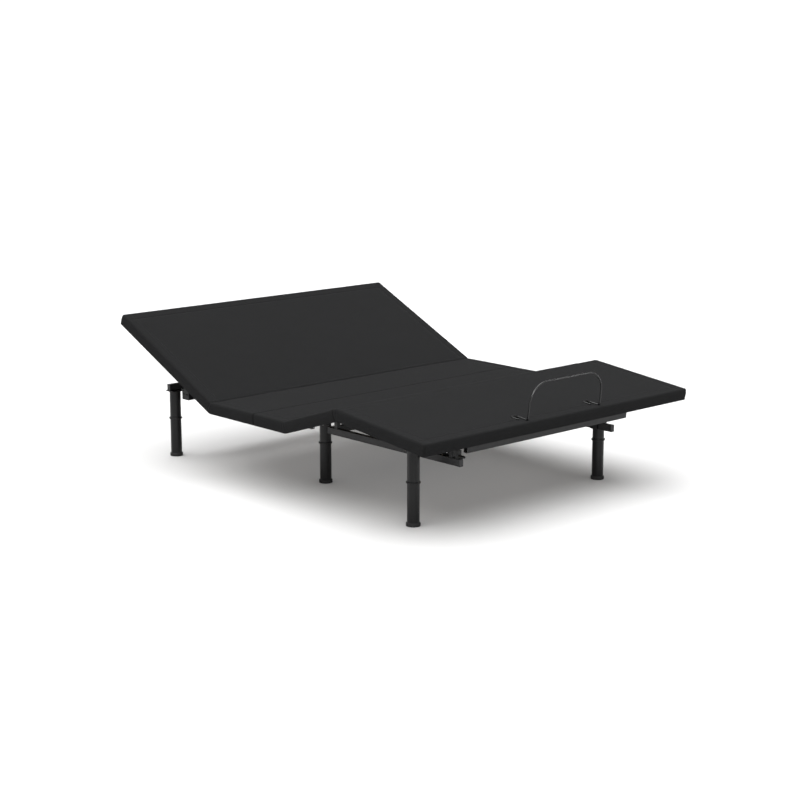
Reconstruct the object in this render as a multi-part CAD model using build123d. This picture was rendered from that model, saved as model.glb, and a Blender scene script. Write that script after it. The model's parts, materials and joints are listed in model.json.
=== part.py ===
from build123d import *
import os
from math import atan2, cos, degrees, radians, sin

# Adjustable bed base, queen size: five padded deck panels on a steel base frame with six legs.
# Millimetres, +Z up, +Y toward the head end, +X to the right seen from the foot end.
# Origin: on the floor, under the middle of the whole base, with the back and legs partly raised.
# Each deck section is modelled flat in its own frame, whose X axis is its hinge axis.

# Deck
DECK_W = 1524.0          # overall width
DECK_TOP = 363.0         # top of the seat above the floor
PANEL_T = 48.0           # depth of a panel's side
PAD_T = 12.0             # foam under the fabric
BOARD_T = 12.0           # plywood
WRAP = 4.0               # the boards stop this far inside the fabric
STRIP_W = 18.0           # wooden strip under each outer edge
HINGE_DROP = 22.0        # hinge axis below the deck's top
FOLD_GAP = 14.0          # from a hinge axis to the nearest board
SEAM_GAP = 3.0           # between the two halves of the seat
CORNER_R = 12.0

# Folds and panel lengths, hinge axis to hinge axis or to the outer end
HIP_Y = 334.0
SPLIT_Y = 37.0           # joint between the head half and the foot half
VALLEY_Y = -161.0        # seat to thigh
BACK_L = 711.0
THIGH_L = 334.0
FOOT_L = 502.0

# Angles at rest and at the limits, in degrees
BACK_REST, BACK_MAX = 25.2, 60.0
THIGH_REST, THIGH_MAX = 17.8, 35.0
KNEE_REST = 24.05        # foot panel down from the thigh's line

# Base frame
RAIL_X = 444.0           # side rail centre line
RAIL_W, RAIL_H = 20.0, 30.0
WALL = 2.0
RAIL_Z = 250.0           # underside of the side rails
BAR_Z = 304.0            # underside of the crossbars above the legs
FOOT_RAIL_Y = (-847.0, -68.0)
HEAD_RAIL_Y = (45.0, 872.0)
LEG_BAR_X = 576.0        # half length of the crossbars over the outer legs
SHORT_BAR_X = 454.0      # half length of the other crossbars
HIP_BAR_Y = 278.0
VALLEY_BAR_Y = -116.0
HEAD_DRIVE_Y = 197.0     # crossbars that carry the actuators
LEG_DRIVE_Y = -78.0
STUB_X = 280.0

# Legs: x, y of each
HEAD_LEG_Y, MID_LEG_Y, FOOT_LEG_Y = 897.0, 62.0, -686.0
OUTER_LEG_X, MID_LEG_X = 544.0, 359.0
LEGS = [(side * x, y) for x, y in ((OUTER_LEG_X, HEAD_LEG_Y), (MID_LEG_X, MID_LEG_Y),
                                   (OUTER_LEG_X, FOOT_LEG_Y)) for side in (-1, 1)]
LEG_R = 25.0
GLIDE_R, GLIDE_H = 29.0, 15.0
RING_R, RING_Z, RING_H = 29.5, 172.5, 6.5
LEG_TOP = 300.0
LEG_PLATE_X, LEG_PLATE_Y = 32.0, 28.0

# Headboard beam
BEAM_X, BEAM_W, BEAM_Z = 484.0, 50.0, 250.0
PLATE_T = 3.0
HEADBOARD_HOLE_R, HEADBOARD_PITCH = 4.5, 23.0

# Drives: two fixed linear actuators, each pushing a slotted lever under its panel
DRIVE_X = 100.0          # head actuator at +X, leg actuator at -X
LEVER_DROP = 126.0       # push pin below the hinge axis
HEAD_GAIN, LEG_GAIN = 1.077, 1.025   # pin travel per LEVER_DROP and radian
PIN_R = 6.0
LEVER_T, LEVER_GAP = 6.0, 27.0
ROD_R, TUBE_R = 12.0, 22.0
RUN_FIT = 0.05           # radial running clearance

HEAD_PLAY, LEG_PLAY = 2.25, 1.2      # clearance of the push pins in their slots
HEAD_MOUTH_Y, LEG_MOUTH_Y = 232.0, -95.0
HEAD_GEARBOX_Y, LEG_GEARBOX_Y = (-23.0, 47.0), (77.0, 147.0)
HEAD_ROD_L, LEG_ROD_L = 212.0, 145.0
GEARBOX_W, GEARBOX_LOW, GEARBOX_HIGH = 60.0, 20.0, 80.0
MOTOR_R, MOTOR_L, MOTOR_RISE = 25.0, 110.0, 51.0
ROD_EYE_R, ROD_EYE_W = 15.0, 18.0
LUG_W = 20.0

# Foot links, one on each side
LINK_FOOT_Y, LINK_FOOT_Z = -758.4, 291.3     # lower pivot
LINK_L, LINK_REST = 139.2, 35.35             # length, angle above -Y at rest
LINK_PIN_S, LINK_PIN_N = 400.0, -30.0        # upper pivot in the foot panel's frame
LINK_PIN_R, LINK_EYE_R = 5.0, 10.0           # the upper eye is wide, the lower one fits
LINK_TOP_R, LINK_FOOT_R = 14.5, 12.0         # outlines round the two eyes
LINK_HEAD_R, LINK_HEAD_T = 8.0, 3.5
LINK_X = (420.0, 426.0)
EAR_X, EAR_R = (428.0, 434.0), 18.0          # ears on the side rails
HANGER_X, HANGER_S = (412.0, 418.0), (385.0, 438.0)
HANGER_FLANGE = 24.0
CROSS_RAIL_X = 466.0
CROSS_RAIL_S, CROSS_RAIL_N = (415.0, 435.0), (-81.0, -51.0)

# Mattress retainer bar: both ends are bent into hooks that turn to the left
BAR_R, BAR_LEFT, BAR_RIGHT = 3.3, -198.0, 222.0
BAR_TALL, BAR_BEND, BAR_FOOT_BEND = 147.0, 88.0, 10.0
BAR_S = 487.0            # from the knee axis
HOOK_L, HOOK_W, HOOK_TIP, HOOK_BEND = 70.0, 26.0, 45.0, 12.0

# Rests and stops
POST_HALF = 9.0
REST_X, REST_HALF_X, REST_HALF_Y = 400.0, 15.0, 8.0
REST_POST_Y, REST_POST_TOP = -799.0, 333.0
STOP_Y, STOP_TOP = (-841.0, -823.0), 314.0     # one stop, on the left rail
STOP_BUMPER_R, STOP_BUMPER_Y, STOP_BUMPER_DX, STOP_BUMPER_RISE = 5.0, -862.0, 5.2, 9.0
SPACER_X, SPACER_HALF = 220.0, 30.0
REST_GAP = 0.5           # between a bumper and the board that lies on it

# Hinges between panels
HINGE_XS = (-600.0, 0.0, 600.0)
KNUCKLE_R, HINGE_PIN_R, LEAF_T, LEAF_L, LEAF_W = 7.0, 4.0, 3.0, 70.0, 60.0
MIDDLE_KNUCKLE, OUTER_KNUCKLE = 9.75, 10.25

# Joint between the two halves of the frame
FLANGE_T, FLANGE_Z = 4.0, 288.0
STUB_W, FLANGE_HALF = 30.0, 36.0
SPLICE_HOLES = [(dx, z) for dx in (-26.0, 26.0) for z in (296.0, 326.0)]

# Control box
BOX_X, BOX_Y, BOX_Z = (220.0, 380.0), (95.0, 205.0), 301.0
SOCKET_X, SOCKET_Z, SOCKET_DEPTH = (285.0, 315.0), (310.0, 324.0), 5.0

AXIS_Z = DECK_TOP - HINGE_DROP
PUSH_Z = AXIS_Z - LEVER_DROP
BOARD_TOP = HINGE_DROP - PAD_T
BOARD_BOTTOM = BOARD_TOP - BOARD_T
SKIRT_BOTTOM = HINGE_DROP - PANEL_T + 1.0
HALF_W = DECK_W / 2
INNER_W = HALF_W - WRAP

SEAT = Pos(0, 0, AXIS_Z)
BACK = Pos(0, HIP_Y, AXIS_Z) * Rot(BACK_REST, 0, 0)
THIGH = Pos(0, VALLEY_Y, AXIS_Z) * Rot(-THIGH_REST, 0, 0)
FOOT = THIGH * Pos(0, -THIGH_L, 0) * Rot(KNEE_REST, 0, 0)


# ---- Shapes used more than once

def block(x, y, z):
    """A box between two limits on each axis."""
    low = [min(v) for v in (x, y, z)]
    size = [max(v) - min(v) for v in (x, y, z)]
    return Pos(*low) * Box(*size, align=(Align.MIN, Align.MIN, Align.MIN))


def box_tube(x, y, z, along, wall=WALL, radius=2.5):
    """A square tube between limits, open at both ends along one axis."""
    limits = {Axis.X: x, Axis.Y: y, Axis.Z: z}
    outer = block(x, y, z)
    outer = fillet(outer.edges().filter_by(along), radius)
    inner = {}
    for axis, (a, b) in limits.items():
        inner[axis] = (a - 1, b + 1) if axis == along else (a + wall, b - wall)
    return outer - block(inner[Axis.X], inner[Axis.Y], inner[Axis.Z])


def rod_x(radius, x, y, z):
    """A round bar along X between two x values."""
    centre = Pos((x[0] + x[1]) / 2, y, z)
    return centre * Rot(0, 90, 0) * Cylinder(radius, abs(x[1] - x[0]))


def rod_y(radius, x, y, z):
    """A round bar along Y between two y values."""
    centre = Pos(x, (y[0] + y[1]) / 2, z)
    return centre * Rot(90, 0, 0) * Cylinder(radius, abs(y[1] - y[0]))


def both_sides(make):
    """The same piece on the left and on the right."""
    return [make(side) for side in (-1, 1)]


def group(solids, place=None):
    """Separate solids kept together in one node."""
    if place is not None:
        solids = [place * solid for solid in solids]
    return Compound(children=solids)


# ---- Deck panels, flat in the section's own frame; way is +1 toward the head, -1 toward the foot

def board(y):
    return block((-INNER_W, INNER_W), y, (BOARD_BOTTOM, BOARD_TOP))


def pad(y, outer_end=None):
    """Foam and fabric on a board, rounded at the corners of the bed."""
    body = block((-HALF_W, HALF_W), y, (BOARD_TOP, HINGE_DROP))
    if outer_end is None:
        return body
    corners = body.edges().filter_by(Axis.Z).group_by(Axis.Y)[-1 if outer_end > 0 else 0]
    return fillet(corners, CORNER_R)


def edge_strips(y, outer_end=None):
    """Wooden strips under a panel's outer edges."""
    z = (SKIRT_BOTTOM, BOARD_BOTTOM)
    strips = both_sides(lambda side: block((side * (INNER_W - STRIP_W), side * INNER_W), y, z))
    if outer_end is not None:
        end = outer_end * max(abs(v) for v in y)
        inside = INNER_W - STRIP_W
        strips.append(block((-inside, inside), (end - outer_end * STRIP_W, end), z))
    return strips


def panel_span(length, way, outer, inset):
    """A panel's limits along Y, from its hinge gap to its far end."""
    far = length - inset if outer else length - FOLD_GAP
    return (way * FOLD_GAP, way * far)


def section(name, place, length, way, outer):
    """The board, strips and pad of one moving panel."""
    wood = panel_span(length, way, outer, WRAP)
    soft = panel_span(length, way, outer, 0)
    end = way if outer else None
    return {
        name + "_board": place * board(wood),
        name + "_edge_strips": group(edge_strips(wood, end), place),
        name + "_pad": place * pad(soft, end),
    }


def seat():
    head = (SPLIT_Y + SEAM_GAP / 2, HIP_Y - FOLD_GAP)
    foot = (VALLEY_Y + FOLD_GAP, SPLIT_Y - SEAM_GAP / 2)
    return {
        "seat_boards": group([board(head), board(foot)], SEAT),
        "seat_edge_strips": group(edge_strips(head) + edge_strips(foot), SEAT),
        "seat_head_pad": SEAT * pad(head),
        "seat_foot_pad": SEAT * pad(foot),
    }


# ---- Hinges between panels

def leaf(x, way, knuckles):
    """A hinge leaf under a board, with its own knuckles round the axis."""
    z = (BOARD_BOTTOM - LEAF_T, BOARD_BOTTOM)
    plate = block((x - LEAF_W / 2, x + LEAF_W / 2), (way * (KNUCKLE_R + 1), way * LEAF_L), z)
    for a, b in knuckles:
        plate += block((x + a, x + b), (0, way * (KNUCKLE_R + 1)), z)
        plate += rod_x(KNUCKLE_R, (x + a, x + b), 0, 0)
    return plate - rod_x(HINGE_PIN_R + RUN_FIT, (x - LEAF_W, x + LEAF_W), 0, 0)


def leaves(place, way, fixed):
    half = LEAF_W / 2
    outer = ((-half, -OUTER_KNUCKLE), (OUTER_KNUCKLE, half))
    middle = ((-MIDDLE_KNUCKLE, MIDDLE_KNUCKLE),)
    knuckles = outer if fixed else middle
    return group([leaf(x, way, knuckles) for x in HINGE_XS], place)


def hinge_pins(places):
    """A headed pin through each hinge of the given folds."""
    solids = []
    for place in places:
        for x in HINGE_XS:
            start, end = x - LEAF_W / 2 - 1, x + LEAF_W / 2 + 3
            pin = rod_x(HINGE_PIN_R, (start, end), 0, 0)
            head = rod_x(HINGE_PIN_R + 1.5, (start - 2, start), 0, 0)
            solids.append(place * (pin + head))
    return Compound(children=solids)


def hinges():
    hip = Pos(0, HIP_Y, AXIS_Z)
    valley = Pos(0, VALLEY_Y, AXIS_Z)
    knee_thigh = THIGH * Pos(0, -THIGH_L, 0)
    return {
        "hip_hinge_fixed": leaves(hip, -1, True),
        "hip_hinge_moving": leaves(BACK, 1, False),
        "valley_hinge_fixed": leaves(valley, 1, True),
        "valley_hinge_moving": leaves(THIGH, -1, False),
        "knee_hinge_fixed": leaves(knee_thigh, 1, True),
        "knee_hinge_moving": leaves(FOOT, -1, False),
        "deck_hinge_pins": hinge_pins([hip, valley]),
        "knee_hinge_pins": hinge_pins([knee_thigh]),
    }


# ---- Steel under the moving panels

TUBE = 25.0              # subframe tube, square
SUB_X = 300.0            # subframe side tubes
NEAR_BAR = (74.0, 99.0)  # the crossbar that carries the levers
BACK_TUBES_L, THIGH_TUBES_L = 530.0, 260.0


def subframe(way, length):
    """Two long tubes and two crossbars under a panel's board."""
    z = (BOARD_BOTTOM - TUBE, BOARD_BOTTOM)
    tubes = []
    for side in (-1, 1):
        x = (side * SUB_X - TUBE / 2, side * SUB_X + TUBE / 2)
        tubes.append(box_tube(x, sorted((way * 30.0, way * length)), z, Axis.Y))
    inside = SUB_X - TUBE / 2
    far_bar = (length - 2 * TUBE, length - TUBE)
    for near, far in (NEAR_BAR, far_bar):
        tubes.append(box_tube((-inside, inside), sorted((way * near, way * far)), z, Axis.X))
    return tubes


def lever(x, way, half_travel, play):
    """Two slotted plates that hang from the near crossbar and take the push pin between them."""
    tilt = radians(half_travel)
    down = (-way * sin(tilt), -cos(tilt))
    near = LEVER_DROP - PIN_R - 1
    far = LEVER_DROP / cos(tilt) + PIN_R + 1
    middle = (near + far) / 2
    bar_y = way * sum(NEAR_BAR) / 2
    bar_z = BOARD_BOTTOM - TUBE
    end = (down[0] * far, down[1] * far)
    outline = make_hull((Pos(*end) * Circle(16.0)).edges()
                        + (Pos(down[0] * near, down[1] * near) * Circle(20.0)).edges()
                        + (Pos(bar_y, bar_z - 12.5) * Rectangle(TUBE, TUBE)).edges())
    slot_place = Pos(down[0] * middle, down[1] * middle) * Rot(0, 0, degrees(atan2(down[1], down[0])))
    plate = outline - slot_place * SlotOverall(far - near, 2 * (PIN_R + play))
    plates = []
    for side in (-1, 1):
        inner = x + side * LEVER_GAP / 2
        start = inner if side > 0 else inner - LEVER_T
        plates.append(extrude(Plane.YZ.offset(start) * plate, amount=LEVER_T))
    return plates


def foot_steel():
    """Hangers under the foot panel and the cross rail that joins them."""
    hangers, pins = [], []
    along = (-HANGER_S[0], -HANGER_S[1])
    inner, outer = HANGER_X
    for side in (-1, 1):
        plate = block((side * inner, side * outer), along, (CROSS_RAIL_N[1], BOARD_BOTTOM))
        flange = block((side * (inner - HANGER_FLANGE), side * inner), along,
                       (BOARD_BOTTOM - LEAF_T, BOARD_BOTTOM))
        hole = rod_x(LINK_PIN_R, (side * (inner - 5), side * (outer + 5)), -LINK_PIN_S, LINK_PIN_N)
        hangers.append(plate + flange - hole)
        pin = rod_x(LINK_PIN_R, (side * inner, side * EAR_X[0]), -LINK_PIN_S, LINK_PIN_N)
        head = rod_x(LINK_HEAD_R, (side * (inner - LINK_HEAD_T), side * inner),
                     -LINK_PIN_S, LINK_PIN_N)
        pins.append(pin + head)
    along = (-CROSS_RAIL_S[1], -CROSS_RAIL_S[0])
    rail = box_tube((-CROSS_RAIL_X, CROSS_RAIL_X), along, CROSS_RAIL_N, Axis.X)
    return {
        "foot_hangers": group(hangers, FOOT),
        "link_upper_pins": group(pins, FOOT),
        "foot_cross_rail": FOOT * rail,
    }


def links():
    """Side links that hold the foot panel up from the side rails."""
    angle = radians(LINK_REST)
    top = (LINK_FOOT_Y - LINK_L * cos(angle), LINK_FOOT_Z + LINK_L * sin(angle))
    foot = (LINK_FOOT_Y, LINK_FOOT_Z)
    ends = (Pos(*top) * Circle(LINK_TOP_R)).edges() + (Pos(*foot) * Circle(LINK_FOOT_R)).edges()
    face = make_hull(ends) - Pos(*top) * Circle(LINK_EYE_R)
    face -= Pos(*foot) * Circle(LINK_PIN_R + RUN_FIT)
    bars, brackets, pins = [], [], []
    for side in (-1, 1):
        start = min(side * LINK_X[0], side * LINK_X[1])
        bars.append(extrude(Plane.YZ.offset(start) * face, amount=LINK_X[1] - LINK_X[0]))
        ear_x = (side * EAR_X[0], side * EAR_X[1])
        ear = block(ear_x, (foot[0] - EAR_R, foot[0] + EAR_R), (RAIL_Z, foot[1]))
        ear += rod_x(EAR_R, ear_x, *foot)
        ear -= rod_x(LINK_PIN_R, (side * LINK_X[0], side * (EAR_X[1] + 5)), *foot)
        brackets.append(ear)
        head_x = LINK_X[0] - 1.5
        pin = rod_x(LINK_PIN_R, (side * head_x, side * EAR_X[1]), *foot)
        head = rod_x(LINK_HEAD_R, (side * (head_x - LINK_HEAD_T), side * head_x), *foot)
        pins.append(pin + head)
    return {
        "foot_links": group(bars),
        "link_brackets": group(brackets),
        "link_lower_pins": group(pins),
    }


# ---- Base frame

RAIL_TOP = RAIL_Z + RAIL_H
BAR_TOP = BAR_Z + RAIL_H


def rails(y):
    half = RAIL_W / 2
    return group(both_sides(lambda side: box_tube(
        (side * RAIL_X - half, side * RAIL_X + half), y, (RAIL_Z, RAIL_TOP), Axis.Y)))


def crossbar(half_x, y, z=BAR_Z):
    return box_tube((-half_x, half_x), (y - RAIL_W / 2, y + RAIL_W / 2), (z, z + RAIL_H), Axis.X)


def posts():
    """Uprights from the side rails to the crossbars, and the rest posts under the foot panel."""
    solids = []
    half = POST_HALF
    for side in (-1, 1):
        x = (side * RAIL_X - half, side * RAIL_X + half)
        for y in (HIP_BAR_Y, MID_LEG_Y, VALLEY_BAR_Y, FOOT_LEG_Y):
            solids.append(block(x, (y - half, y + half), (RAIL_TOP, BAR_Z)))
        solids.append(block(x, (REST_POST_Y - 10, REST_POST_Y + 10), (RAIL_TOP, REST_POST_TOP)))
        solids.append(block((side * REST_X - 20, side * REST_X + 20),
                            (HEAD_LEG_Y - 10, HEAD_LEG_Y + 10), (BEAM_Z + BEAM_W, BAR_Z)))
    return group(solids)


CAP_T, PLUG_L = 2.5, 12.0


def end_caps():
    """Plastic caps in the open tube ends that can be seen."""
    caps = []
    plug_z = (RAIL_Z + WALL, RAIL_TOP - WALL)
    for side in (-1, 1):
        x = (side * RAIL_X - RAIL_W / 2, side * RAIL_X + RAIL_W / 2)
        plug_x = (x[0] + WALL, x[1] - WALL)
        for y, way in ((FOOT_RAIL_Y[0], -1), (FOOT_RAIL_Y[1], 1), (HEAD_RAIL_Y[0], -1)):
            cap = block(x, (y, y + way * CAP_T), (RAIL_Z, RAIL_TOP))
            caps.append(cap + block(plug_x, (y, y - way * PLUG_L), plug_z))
        for half_x, y in ((LEG_BAR_X, HEAD_LEG_Y), (LEG_BAR_X, FOOT_LEG_Y),
                          (SHORT_BAR_X, MID_LEG_Y), (SHORT_BAR_X, HIP_BAR_Y),
                          (SHORT_BAR_X, VALLEY_BAR_Y)):
            end = side * half_x
            face = (y - RAIL_W / 2, y + RAIL_W / 2)
            cap = block((end, end + side * CAP_T), face, (BAR_Z, BAR_TOP))
            plug = block((end, end - side * PLUG_L), (face[0] + WALL, face[1] - WALL),
                         (BAR_Z + WALL, BAR_TOP - WALL))
            caps.append(cap + plug)
    return group(caps)


BOLT_R, BOLT_FLATS = 4.0, 6.5
BOLT_HEAD_T, NUT_T = 5.0, 6.0


def splice():
    """Stub tubes with flanges that bolt the two halves of the frame together."""
    stubs, bolts = [], []
    for side in (-1, 1):
        cx = side * STUB_X
        tube_x = (cx - STUB_W / 2, cx + STUB_W / 2)
        foot_face, head_face = SPLIT_Y - FLANGE_T, SPLIT_Y + FLANGE_T
        halves = (((VALLEY_BAR_Y + RAIL_W / 2, foot_face), (foot_face, SPLIT_Y)),
                  ((head_face, MID_LEG_Y - RAIL_W / 2), (SPLIT_Y, head_face)))
        for tube_y, flange_y in halves:
            stub = box_tube(tube_x, tube_y, (BAR_Z, BAR_TOP), Axis.Y)
            stub += block((cx - FLANGE_HALF, cx + FLANGE_HALF), flange_y, (FLANGE_Z, BAR_TOP))
            for dx, z in SPLICE_HOLES:
                stub -= rod_y(BOLT_R + 0.2, cx + dx, (SPLIT_Y - 10, SPLIT_Y + 10), z)
            stubs.append(stub)
        for dx, z in SPLICE_HOLES:
            x = cx + dx
            bolt = rod_y(BOLT_R, x, (foot_face, head_face + NUT_T), z)
            head = Pos(x, foot_face - BOLT_HEAD_T / 2, z) * Rot(90, 0, 0) * hexagon(BOLT_FLATS, BOLT_HEAD_T)
            nut = Pos(x, head_face + NUT_T / 2, z) * Rot(90, 0, 0) * hexagon(BOLT_FLATS, NUT_T)
            bolts.append(bolt + head + nut)
    return {"splice_stubs": group(stubs), "splice_bolts": group(bolts)}


def hexagon(across, height):
    """A six-sided nut or bolt head, centred, along Z; across is half the distance over flats."""
    return extrude(RegularPolygon(across, 6, major_radius=False), amount=height / 2, both=True)


def headboard_beam():
    """The square beam across the head end, with a drilled plate on each end."""
    y = (HEAD_LEG_Y - BEAM_W / 2, HEAD_LEG_Y + BEAM_W / 2)
    z = (BEAM_Z, BEAM_Z + BEAM_W)
    plates = []
    for side in (-1, 1):
        plate = block((side * BEAM_X, side * (BEAM_X + PLATE_T)), y, z)
        for dy in (-HEADBOARD_PITCH / 2, HEADBOARD_PITCH / 2):
            plate -= rod_x(HEADBOARD_HOLE_R, (side * (BEAM_X - 5), side * (BEAM_X + 10)),
                           HEAD_LEG_Y + dy, BEAM_Z + BEAM_W / 2)
        plates.append(plate)
    tube = box_tube((-BEAM_X, BEAM_X), y, z, Axis.X, wall=2.5, radius=4.0)
    return {"headboard_beam": tube, "headboard_plates": group(plates)}


def rests():
    """Rubber bumpers where the panels lie down, and the spacers that the seat stands on."""
    bumpers, spacers = [], []
    board_z = AXIS_Z + BOARD_BOTTOM
    rest_z = board_z - REST_GAP
    for side in (-1, 1):
        x = (side * REST_X - REST_HALF_X, side * REST_X + REST_HALF_X)
        for y in (HEAD_LEG_Y, FOOT_LEG_Y):
            bumpers.append(block(x, (y - REST_HALF_Y, y + REST_HALF_Y), (BAR_TOP, rest_z)))
        post_x = side * RAIL_X
        bumpers.append(block((post_x - 8, post_x + 8), (REST_POST_Y - 9, REST_POST_Y + 9),
                             (REST_POST_TOP, rest_z)))
        x = (side * SPACER_X - SPACER_HALF, side * SPACER_X + SPACER_HALF)
        for y in (HIP_BAR_Y, MID_LEG_Y, VALLEY_BAR_Y):
            spacers.append(block(x, (y - RAIL_W / 2, y + RAIL_W / 2), (BAR_TOP, board_z)))
    stop = block((-RAIL_X - POST_HALF, -RAIL_X + POST_HALF), STOP_Y, (RAIL_TOP, STOP_TOP))
    for dx in (-STOP_BUMPER_DX, STOP_BUMPER_DX):
        stub = (STOP_Y[0], STOP_BUMPER_Y)
        bumpers.append(rod_y(STOP_BUMPER_R, dx - RAIL_X, stub, RAIL_TOP + STOP_BUMPER_RISE))
    return {"panel_bumpers": group(bumpers), "seat_spacers": group(spacers),
            "foot_stop_bracket": stop}


def legs():
    """Two-piece screwed legs, each with a plate, a joint ring and a rubber glide."""
    plates, uppers, rings, lowers, glides = [], [], [], [], []
    for x, y in LEGS:
        place = Pos(x, y, 0)
        upper_z = (RING_Z + RING_H, LEG_TOP)
        uppers.append(place * round_tube(LEG_R, upper_z, closed_at=upper_z))
        lowers.append(place * round_tube(LEG_R, (GLIDE_H, RING_Z), closed_at=(RING_Z,)))
        ring = Pos(0, 0, RING_Z + RING_H / 2) * Cylinder(RING_R, RING_H)
        rings.append(place * fillet(ring.edges(), 1.5))
        glide = Pos(0, 0, GLIDE_H / 2) * Cylinder(GLIDE_R, GLIDE_H)
        glide = fillet(glide.edges().group_by(Axis.Z)[-1], 4.0)
        glides.append(place * fillet(glide.edges().group_by(Axis.Z)[0], 1.5))
        plate = block((-LEG_PLATE_X, LEG_PLATE_X), (-LEG_PLATE_Y, LEG_PLATE_Y), (LEG_TOP, BAR_Z))
        plates.append(place * fillet(plate.edges().filter_by(Axis.Z), 6.0))
    return {"leg_plates": group(plates), "leg_upper_tubes": group(uppers),
            "leg_joint_rings": group(rings), "leg_lower_tubes": group(lowers),
            "leg_glides": group(glides)}


def round_tube(radius, z, closed_at):
    """A round tube along Z with a 3 mm disc in each end named in closed_at."""
    height = z[1] - z[0]
    tube = Pos(0, 0, (z[0] + z[1]) / 2) * (Cylinder(radius, height) - Cylinder(radius - WALL, height))
    for end in closed_at:
        inward = 1.5 if end == z[0] else -1.5
        tube += Pos(0, 0, end + inward) * Cylinder(radius - WALL / 2, 3.0)
    return tube


# ---- Drives

def actuator(x, mouth_y, gearbox_y, lug_y, way):
    """Gearbox, motor and outer tube in one housing; way is the direction in which it pushes."""
    z = PUSH_Z
    rear, front = gearbox_y if way > 0 else gearbox_y[::-1]
    sides = (x - GEARBOX_W / 2, x + GEARBOX_W / 2)
    housing = block(sides, gearbox_y, (z - GEARBOX_LOW, z + GEARBOX_HIGH))
    housing = fillet(housing.edges().filter_by(Axis.Y), 8.0)
    housing += rod_y(TUBE_R, x, (front, mouth_y), z)
    housing += rod_y(MOTOR_R, x, (front, front + way * MOTOR_L), z + MOTOR_RISE)
    housing += block((x - LUG_W / 2, x + LUG_W / 2), (rear, lug_y), (RAIL_Z + 5, RAIL_TOP - 5))
    neck = mouth_y - way * 25
    housing -= rod_y(ROD_R + RUN_FIT, x, (mouth_y + way, neck), z)
    housing -= rod_y(ROD_R + 3, x, (neck, front - way * 14), z)
    return housing


def push_rod(x, pin_y, length, way):
    """The moving rod with an eye at its end, and the cross pin pressed through it."""
    rod = rod_y(ROD_R, x, (pin_y, pin_y - way * length), PUSH_Z)
    rod += rod_x(ROD_EYE_R, (x - ROD_EYE_W / 2, x + ROD_EYE_W / 2), pin_y, PUSH_Z)
    rod -= rod_x(PIN_R, (x - ROD_EYE_W, x + ROD_EYE_W), pin_y, PUSH_Z)
    reach = LEVER_GAP / 2 + LEVER_T + 3
    pin = rod_x(PIN_R, (x - reach, x + reach), pin_y, PUSH_Z)
    return group([rod, pin])


def clamp(x, bar_y):
    """A ring round the actuator's tube, hung from its crossbar."""
    y = (bar_y - RAIL_W / 2, bar_y + RAIL_W / 2)
    ring = rod_y(TUBE_R + 6, x, y, PUSH_Z)
    ring += block((x - 15, x + 15), y, (PUSH_Z + TUBE_R, RAIL_Z))
    return ring - rod_y(TUBE_R, x, (y[0] - 1, y[1] + 1), PUSH_Z)


def pin_travel(angle, limit, gain):
    """How far a push pin stands from below its hinge axis at a panel angle."""
    return LEVER_DROP * gain * radians(angle - limit / 2)


def drives():
    head_pin = HIP_Y + pin_travel(BACK_REST, BACK_MAX, HEAD_GAIN)
    leg_pin = VALLEY_Y - pin_travel(THIGH_REST, THIGH_MAX, LEG_GAIN)
    bar_half = RAIL_X - RAIL_W / 2
    bars = [crossbar(bar_half, y, RAIL_Z) for y in (HEAD_DRIVE_Y, LEG_DRIVE_Y)]
    head_back = HEAD_DRIVE_Y - RAIL_W / 2
    leg_front = LEG_DRIVE_Y + RAIL_W / 2
    return {
        "drive_crossbars": group(bars),
        "head_actuator": actuator(DRIVE_X, HEAD_MOUTH_Y, HEAD_GEARBOX_Y, leg_front, 1),
        "leg_actuator": actuator(-DRIVE_X, LEG_MOUTH_Y, LEG_GEARBOX_Y, head_back, -1),
        "head_push_rod": push_rod(DRIVE_X, head_pin, HEAD_ROD_L, 1),
        "leg_push_rod": push_rod(-DRIVE_X, leg_pin, LEG_ROD_L, -1),
        "actuator_clamps": group([clamp(DRIVE_X, HEAD_DRIVE_Y), clamp(-DRIVE_X, LEG_DRIVE_Y)]),
        "back_lever": group(lever(DRIVE_X, 1, BACK_MAX / 2, HEAD_PLAY), BACK),
        "thigh_lever": group(lever(-DRIVE_X, -1, THIGH_MAX / 2, LEG_PLAY), THIGH),
        "control_box": control_box(),
    }


def control_box():
    """The controller under the seat, with a socket in its head-end face."""
    body = block(BOX_X, BOX_Y, (BOX_Z, AXIS_Z + BOARD_BOTTOM))
    body = fillet(body.edges().filter_by(Axis.Z), 10.0)
    return body - block(SOCKET_X, (BOX_Y[1] - SOCKET_DEPTH, BOX_Y[1] + 1), SOCKET_Z)


# ---- Retainer bar

WASHER_R, WASHER_T = 10.5, 1.6
WASHER_LIFT = 2.4        # over the rod's centre line, where it rests on both sides of a hook
SCREW_HEAD_R, SCREW_HEAD_T, SCREW_R = 6.0, 3.6, 3.0
SCREW_BACK = 14.0        # from the hook's turn


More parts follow.
